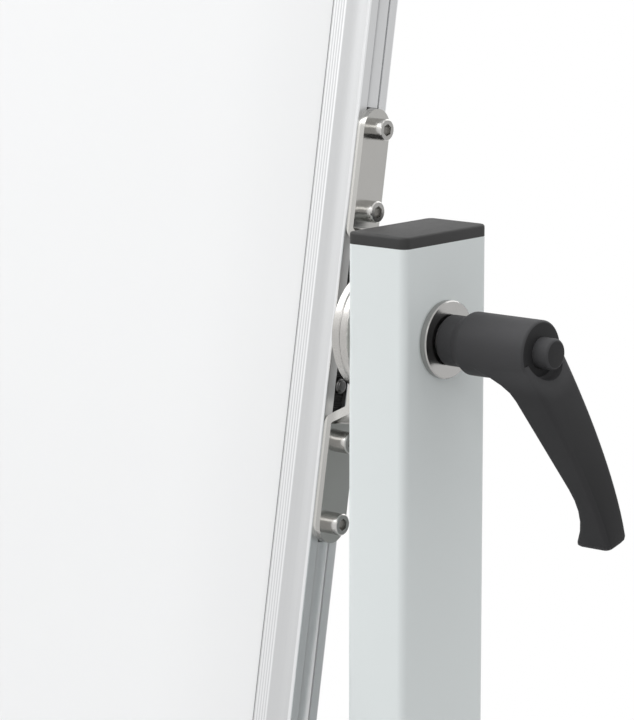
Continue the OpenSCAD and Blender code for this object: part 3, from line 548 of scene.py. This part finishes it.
def new_piece(context, name, shape, material):
    """Makes an object of a finished bmesh, which it frees."""
    mesh = bpy.data.meshes.new(name)
    shape.to_mesh(mesh)
    shape.free()
    mesh.materials.append(material)
    piece = bpy.data.objects.new(name, mesh)
    context.scene.collection.objects.link(piece)
    return piece


def board_rods(shape, reach, height, radius, length, segments):
    """Adds four short rods to a mesh, two on each side of the board, that point sideways."""
    board = Matrix.Translation(PIVOT) @ Matrix.Rotation(BOARD_TURN[0], 4, "X")
    sideward = Matrix.Rotation(math.pi / 2, 4, "Y")
    sizes = {"radius1": radius, "radius2": radius, "depth": length}
    for side in (-1, 1):
        for end in (-1, 1):
            place = board @ (Matrix.Translation((side * reach, 0, end * height)) @ sideward)
            bmesh.ops.create_cone(shape, cap_ends=True, segments=segments, matrix=place, **sizes)


def slot_colour(slot, description):
    return FloatVectorProperty(
        name=slot.replace("_", " ").capitalize(),
        description=description,
        subtype="COLOR",
        size=3,
        min=0.0,
        max=1.0,
        default=RECORD_COLOURS[slot],
    )


def lamp_power(name, description, default):
    return FloatProperty(name=name, description=description, unit="POWER", min=0.0, default=default)


class EaselFinishes(bpy.types.PropertyGroup):
    """Colours of the easel's finishes"""

    post_paint: slot_colour("post_paint", "Powder coat of posts, feet and crossbar")
    cap_plastic: slot_colour("cap_plastic", "Plastic of the tube caps")
    lever_plastic: slot_colour("lever_plastic", "Plastic of levers, hooks and pedals")
    corner_plastic: slot_colour("corner_plastic", "Plastic of the frame's corners")
    frame_aluminium: slot_colour("frame_aluminium", "Anodised rails, slot covers and tray")
    board_enamel: slot_colour("board_enamel", "Writing surface")
    board_core: slot_colour("board_core", "Core of the panel")
    satin_nickel: slot_colour("satin_nickel", "Brackets of the pivots")
    screw_nickel: slot_colour("screw_nickel", "Screws of the brackets")
    disc_steel: slot_colour("disc_steel", "Friction discs of the pivots")
    polished_steel: slot_colour("polished_steel", "Washers under the levers")
    zinc_steel: slot_colour("zinc_steel", "Bolts, stems, springs and castor forks")
    burnished_steel: slot_colour("burnished_steel", "Set screws in the slots")
    black_steel: slot_colour("black_steel", "Nut bars in the slots")
    wheel_plastic: slot_colour("wheel_plastic", "Castor wheels")
    tyre_rubber: slot_colour("tyre_rubber", "Castor tyres")


class EaselStudio(bpy.types.PropertyGroup):
    """Camera, floor and light round the easel"""

    azimuth: FloatProperty(
        name="Camera azimuth",
        description="Turn of the camera from the front towards the right",
        subtype="ANGLE",
        default=math.radians(40.05),
    )
    elevation: FloatProperty(
        name="Camera elevation",
        description="Angle of the camera above the horizon",
        subtype="ANGLE",
        default=math.radians(10.17),
    )
    place: FloatVectorProperty(
        name="Camera place",
        description="Where the camera stands",
        subtype="TRANSLATION",
        unit="LENGTH",
        size=3,
        default=(1.4103, -1.2617, 1.5671),
    )
    lens: FloatProperty(
        name="Lens",
        description="Focal length on a 36 mm sensor, in millimetres",
        min=20.0,
        max=400.0,
        default=181.2,
    )
    floor_radius: FloatProperty(
        name="Floor radius",
        description="Radius of the pale floor",
        unit="LENGTH",
        min=1.0,
        default=2.6,
    )
    floor_colour: FloatVectorProperty(
        name="Floor colour",
        description="Colour of the pale floor",
        subtype="COLOR",
        size=3,
        min=0.0,
        max=1.0,
        default=(0.7, 0.7, 0.7),
    )
    ambient: FloatProperty(
        name="Ambient",
        description="Strength of the soft light from all round, which is stronger from above",
        min=0.0,
        max=2.0,
        default=0.54,
    )
    key_power: lamp_power("Key light", "Power of the soft light high at the front", 46.0)
    window_power: lamp_power(
        "Window light", "Power of the light high on the left that draws highlights on discs and screws", 49.0
    )
    left_power: lamp_power("Left light", "Power of the large dim light that the front metal mirrors", 24.0)
    accent_power: lamp_power(
        "Accent light", "Power of the small light on the right that the brackets mirror on their screws", 12.0
    )
    top_power: lamp_power("Top light", "Power of the soft light above", 22.0)
    back_power: lamp_power("Back light", "Power of the soft light that lights the back of the board", 25.0)


class EASEL_OT_stand(bpy.types.Operator):
    """Paints the posts, feet and crossbar, and finishes the caps and all zinc-plated steel"""

    bl_idname = "easel.stand"
    bl_label = "Stand"

    def execute(self, context):
        colours = context.scene.easel_finishes
        paint = powder_coat("post_paint", colours.post_paint)
        dress(paint, "post_right", "post_left", "foot_right", "foot_left", "crossbar")
        caps = moulded_plastic("cap_plastic", colours.cap_plastic, grain=0.35 * MM, gloss=0.48, specular=0.3)
        dress(caps, "post_caps", "foot_plugs", "pen_tray_caps")
        zinc = plated_steel("zinc_steel", colours.zinc_steel)
        dress(zinc, "crossbar_bolts", "foot_bolts", "pivot_bolts", "pivot_sleeves", "castor_stems")
        dress(zinc, "pen_tray_screws")
        for side in SIDES:
            dress(zinc, f"lever_insert_{side}")
        for corner in CORNERS:
            dress(zinc, f"castor_fork_{corner}", f"castor_axle_{corner}")
        return {"FINISHED"}


class EASEL_OT_board(bpy.types.Operator):
    """Finishes the writing panel, its aluminium frame, its corners and the pen tray"""

    bl_idname = "easel.board"
    bl_label = "Board"

    def execute(self, context):
        colours = context.scene.easel_finishes
        aluminium = colours.frame_aluminium
        dress(extruded_aluminium("side_rail", aluminium, 2, "frame_right"), "frame_left", "frame_right")
        dress(extruded_aluminium("level_rail", aluminium, 0, "frame_top"), "frame_top", "frame_bottom")
        dress(extruded_aluminium("slot_strip", aluminium, 2), "slot_covers")
        dress(extruded_aluminium("tray_aluminium", aluminium, 0), "pen_tray")
        corners = moulded_plastic("corner_plastic", colours.corner_plastic, gloss=0.42)
        dress(corners, "frame_corners")
        dress(writing_enamel("board_enamel", colours.board_enamel), "front_sheet", "back_sheet")
        dress(core_board("board_core", colours.board_core), "panel_core")
        return {"FINISHED"}


class EASEL_OT_pivots(bpy.types.Operator):
    """Finishes the brackets, discs, washers and screws of the pivots, and adds seats and seals"""

    bl_idname = "easel.pivots"
    bl_label = "Pivots"

    def execute(self, context):
        colours = context.scene.easel_finishes
        # Brackets: painted highlight on the cut edges, with painted shade along their outer half
        tones = {"variation": 0.05, "edge": 1.36, "outer_edge_shade": 1.05}
        nickel = plated_steel("satin_nickel", colours.satin_nickel, gloss=0.1, **tones)
        dress(nickel, "bracket_right", "bracket_left")
        # Screws: painted highlight on their rims and chamfers
        screw = plated_steel("screw_nickel", colours.screw_nickel, gloss=0.12, edge=1.55)
        dress(screw, "bracket_screws")
        self.seats(context, screw)
        disc = tinted(colours.disc_steel, DISC_TINT)
        # Discs: painted light on their flat faces
        lit_face_steel = turned_steel("disc_steel", disc, gloss=0.2, face=DISC_FACE_PAINTED_LIGHT)
        dress(lit_face_steel, "board_discs", "post_discs")
        dress(turned_steel("polished_steel", colours.polished_steel, gloss=0.1), "clamp_washers")
        burnished = plated_steel("burnished_steel", colours.burnished_steel)
        dress(burnished, "slot_set_screws")
        self.seals(context, burnished)
        dress(ribbed_steel("black_steel", colours.black_steel), "slot_nut_bars")
        return {"FINISHED"}

    def seats(self, context, material):
        """Turned collars that close the joint between the screws' heads and the brackets"""
        middle = bracket_face() + SEAT_HEIGHT / 2
        low, high = board_reach("bracket_screws", 2)
        shape = bmesh.new()
        for height in (low + SCREW_HEAD_RADIUS, high - SCREW_HEAD_RADIUS):
            board_rods(shape, middle, height, SCREW_HEAD_RADIUS + SEAT_PROUD, SEAT_HEIGHT, SEAT_SIDES)
        for face in shape.faces:
            face.smooth = len(face.verts) == 4
        piece = new_piece(context, "screw_seats", shape, material)
        keep_edges(piece)
        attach(piece, "board")

    def seals(self, context, material):
        """Rounded drops of locking lacquer that close the sockets of the set screws"""
        end = board_reach("slot_set_screws", 0)[1]
        height = sum(board_reach("slot_set_screws", 2)) / 2
        shape = bmesh.new()
        board_rods(shape, end, height, SEAL_RADIUS, SEAL_HEIGHT, SEAL_SIDES)
        rims = [e for e in shape.edges if e.calc_face_angle(0) > RIM_ANGLE]
        round_off = {"offset": SEAL_ROUND, "segments": SEAL_ROUND_STEPS, "profile": 0.5, "material": -1}
        bmesh.ops.bevel(shape, geom=rims, affect="EDGES", **round_off)
        for face in shape.faces:
            face.smooth = True
        piece = new_piece(context, "set_screw_seals", shape, material)
        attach(piece, "board")


class EASEL_OT_levers(bpy.types.Operator):
    """Finishes the clamping levers, paper hooks and brake pedals, and winds the buttons' springs"""

    bl_idname = "easel.levers"
    bl_label = "Levers and hooks"

    def execute(self, context):
        colours = context.scene.easel_finishes
        # Tones of the arm, of the hub with painted light and of the end faces with painted shade
        arm, hub, ends = (tinted(colours.lever_plastic, tint) for tint in (ARM_TINT, HUB_PAINTED_LIGHT, END_PAINTED_SHADE))
        black = moulded_plastic("lever_plastic", arm, specular=0.12, hub=hub, ends=ends)
        wire = plated_steel("spring_steel", colours.zinc_steel)
        for side in SIDES:
            dress(black, f"lever_handle_{side}", f"lever_button_{side}", f"paper_hook_{side}")
            self.spring(context, side, wire)
        for corner in BRAKED_CORNERS:
            dress(black, f"brake_pedal_{corner}")
        return {"FINISHED"}

    def spring(self, context, side, material):
        """The button's spring, one round wire"""
        low, high = (Vector(corner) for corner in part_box(f"lever_spring_{side}"))
        length = high.x - low.x
        steps = TURN_STEPS * SPRING_TURNS
        start = Vector((low.x + SPRING_WIRE / 2, PIVOT.y, PIVOT.z + SPRING_RADIUS))
        place = Matrix.Translation(start) @ Matrix.Rotation(math.pi / 2, 4, "X")
        shape = bmesh.new()
        bmesh.ops.create_circle(shape, segments=WIRE_SIDES, radius=SPRING_WIRE / 2, matrix=place)
        bmesh.ops.spin(
            shape,
            geom=shape.verts[:] + shape.edges[:],
            cent=PIVOT,
            axis=(1, 0, 0),
            dvec=((length - SPRING_WIRE) / steps, 0, 0),
            angle=2 * math.pi * SPRING_TURNS,
            steps=steps,
        )
        ends = [e for e in shape.edges if e.is_boundary]
        bmesh.ops.holes_fill(shape, edges=ends, sides=WIRE_SIDES)
        bmesh.ops.recalc_face_normals(shape, faces=shape.faces)
        for face in shape.faces:
            face.smooth = len(face.verts) == 4
        piece = new_piece(context, f"button_spring_{side}", shape, material)
        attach(piece, f"lever_{side}")
        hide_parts(f"lever_spring_{side}")
        press = JOINTS[f"lever_{side}_press"]
        travel = max(press["range_m"])
        (length - travel) / length
        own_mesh(piece)


class EASEL_OT_castors(bpy.types.Operator):
    """Finishes the castor wheels and tyres"""

    bl_idname = "easel.castors"
    bl_label = "Castors"

    def execute(self, context):
        colours = context.scene.easel_finishes
        wheel = moulded_plastic("wheel_plastic", colours.wheel_plastic)
        tyre = tyre_rubber("tyre_rubber", colours.tyre_rubber)
        for corner in CORNERS:
            dress(wheel, f"castor_wheel_{corner}")
            dress(tyre, f"castor_tyre_{corner}")
        return {"FINISHED"}


class EASEL_OT_studio(bpy.types.Operator):
    """Sets the floor, the white background, the soft light and the camera"""

    bl_idname = "easel.studio"
    bl_label = "Studio"

    def execute(self, context):
        studio = context.scene.easel_studio
        self.floor(context, studio)
        self.background(context, studio)
        for name, (place, size) in LAMPS.items():
            self.soft_light(context, f"{name}_light", place, size, getattr(studio, f"{name}_power"))
        self.camera(context, studio)
        context.scene.view_settings.view_transform = "Standard"
        return {"FINISHED"}

    def floor(self, context, studio):
        """A pale disc that keeps the easel's shadow and fades out towards its edge"""
        material, f = new_material("pale_floor")
        reach = f.node("ShaderNodeVectorMath", {"operation": "LENGTH"}, {0: f.spot()}, out="Value")
        start, end = (share * studio.floor_radius for share in FLOOR_FADE)
        f.surface(
            base_color=f.shade(studio.floor_colour, f.even_noise(300 * MM, detail=2), amount=0.01),
            roughness=0.9,
            alpha=1 - reach.ramp(start, end),
        )
        shape = bmesh.new()
        bmesh.ops.create_circle(shape, cap_ends=True, segments=FLOOR_SIDES, radius=studio.floor_radius)
        floor = new_piece(context, "floor", shape, material)

    def background(self, context, studio):
        """White to the camera and in mirrored light, and a softer ambient light on the easel"""
        world = bpy.data.worlds.new("white_studio")
        world.use_nodes = True
        context.scene.world = world
        f = Finish(world.node_tree)
        seen = f.node("ShaderNodeLightPath", out="Is Camera Ray")
        for ray in ("Is Glossy Ray", "Is Transmission Ray"):
            seen = seen.larger(f.node("ShaderNodeLightPath", out=ray))
        up = axis_of(f, f.node("ShaderNodeTexCoord", out="Generated"), "Z")
        strength = studio.ambient + AMBIENT_RISE * up
        even = f.node("ShaderNodeBackground", sockets={"Color": WHITE, "Strength": strength})
        white = f.node("ShaderNodeBackground", sockets={"Color": WHITE, "Strength": 1.0})
        mixed = f.node("ShaderNodeMixShader", sockets={0: seen, 1: even, 2: white})
        f.node("ShaderNodeOutputWorld", sockets={"Surface": mixed})

    def soft_light(self, context, name, place, size, power):
        """A soft box that faces the pivot"""
        lamp = bpy.data.lights.new(name, "AREA")
        lamp.shape = "RECTANGLE"
        lamp.size, lamp.size_y = size
        lamp.energy = power
        held = bpy.data.objects.new(name, lamp)
        held.location = place
        held.rotation_euler = (PIVOT - Vector(place)).to_track_quat("-Z", "Y").to_euler()
        context.scene.collection.objects.link(held)

    def camera(self, context, studio):
        """The camera, level from side to side, at its place and angles"""
        lens = bpy.data.cameras.new("camera")
        lens.lens = studio.lens
        lens.sensor_width = SENSOR_WIDTH
        lens.clip_end = VIEW_LIMIT
        camera = bpy.data.objects.new("camera", lens)
        turn, rise = studio.azimuth, studio.elevation
        back = Vector((math.sin(turn) * math.cos(rise), -math.cos(turn) * math.cos(rise), math.sin(rise)))
        right = Vector((math.cos(turn), math.sin(turn), 0))
        axes = Matrix((right, back.cross(right), back)).transposed().to_4x4()
        camera.matrix_world = Matrix.Translation(studio.place) @ axes
        context.scene.collection.objects.link(camera)
        context.scene.camera = camera


class EASEL_PT_looks(bpy.types.Panel):
    """Sidebar panel with the easel's finishes, studio and operators"""

    bl_idname = "EASEL_PT_looks"
    bl_label = "Flip chart easel"
    bl_space_type = "VIEW_3D"
    bl_region_type = "UI"
    bl_category = "Easel"

    def draw(self, context):
        for group in (context.scene.easel_finishes, context.scene.easel_studio):
            box = self.layout.box()
            for name in group.__annotations__:
                box.prop(group, name)
        for operator in OPERATORS:
            self.layout.operator(operator.bl_idname)


OPERATORS = (
    EASEL_OT_stand,
    EASEL_OT_board,
    EASEL_OT_pivots,
    EASEL_OT_levers,
    EASEL_OT_castors,
    EASEL_OT_studio,
)
CLASSES = (EaselFinishes, EaselStudio, *OPERATORS, EASEL_PT_looks)


def register():
    for cls in CLASSES:
        bpy.utils.register_class(cls)
    bpy.types.Scene.easel_finishes = PointerProperty(type=EaselFinishes)
    bpy.types.Scene.easel_studio = PointerProperty(type=EaselStudio)


def unregister():
    del bpy.types.Scene.easel_studio
    del bpy.types.Scene.easel_finishes
    for cls in reversed(CLASSES):
        bpy.utils.unregister_class(cls)


def main():
    register()
    bpy.ops.easel.stand()
    bpy.ops.easel.board()
    bpy.ops.easel.pivots()
    bpy.ops.easel.levers()
    bpy.ops.easel.castors()
    bpy.ops.easel.studio()


if __name__ == "__main__":
    main()
